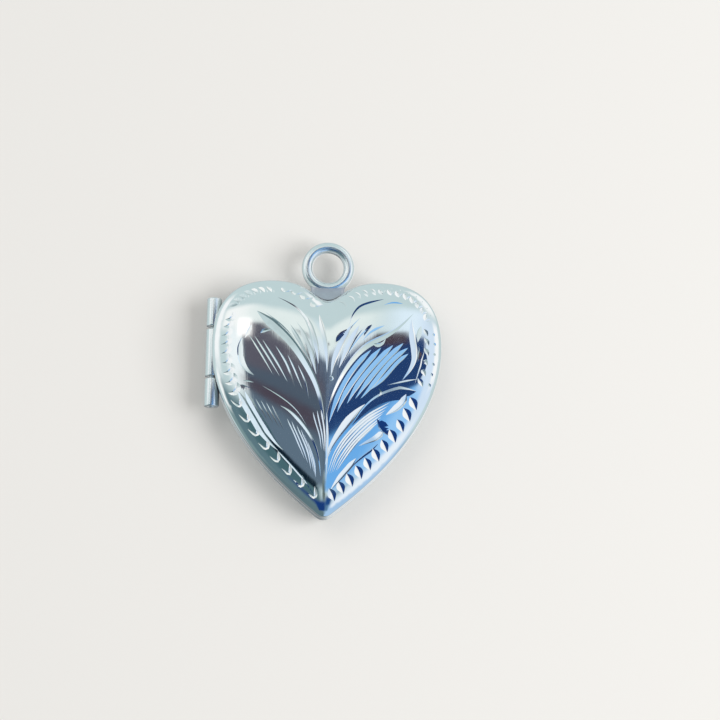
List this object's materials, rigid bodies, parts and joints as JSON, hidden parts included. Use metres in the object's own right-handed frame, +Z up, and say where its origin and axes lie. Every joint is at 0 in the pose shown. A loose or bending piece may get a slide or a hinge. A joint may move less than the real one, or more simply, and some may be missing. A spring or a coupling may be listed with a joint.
{
  "type": "heart locket",
  "caption": "Silver heart locket: an engraved domed front hinged to a plain back, snapping over an inner rim, with framed clear picture windows inside and a soldered ring to hang it from.",
  "frame": {"origin": "centre of the bail ring's hole, from which the locket hangs", "axes": "+Z up through the ring, +X to the right seen from the front, -Y out of the engraved front and +Y out of the plain back; the halves meet in the plane Y = 0"},
  "size_m": [0.0205, 0.0043, 0.0246],
  "materials": {
    "polished_silver": "polished",
    "satin_silver": "satin",
    "window_acetate": "gloss"
  },
  "bodies": {
    "back_half": {"back_cover": "polished_silver", "snap_rim": "satin_silver", "back_bezel": "satin_silver", "back_frame": "polished_silver", "back_window": "window_acetate", "back_bearer": "satin_silver", "knuckle_top": "polished_silver", "knuckle_bottom": "polished_silver", "hinge_pin": "satin_silver", "bail_ring": "polished_silver", "bail_foot": "satin_silver"},
    "front_half": {"front_cover": "polished_silver", "front_bezel": "satin_silver", "front_frame": "polished_silver", "front_window": "window_acetate", "front_bearer": "satin_silver", "knuckle_middle": "polished_silver"}
  },
  "joints": [
    {"name": "hinge", "type": "hinge", "parent": "back_half", "child": "front_half", "pos_m": [-0.00989, 0, -0.0079], "axis": [0, 0, -1], "range_deg": [0, 155]}
  ]
}
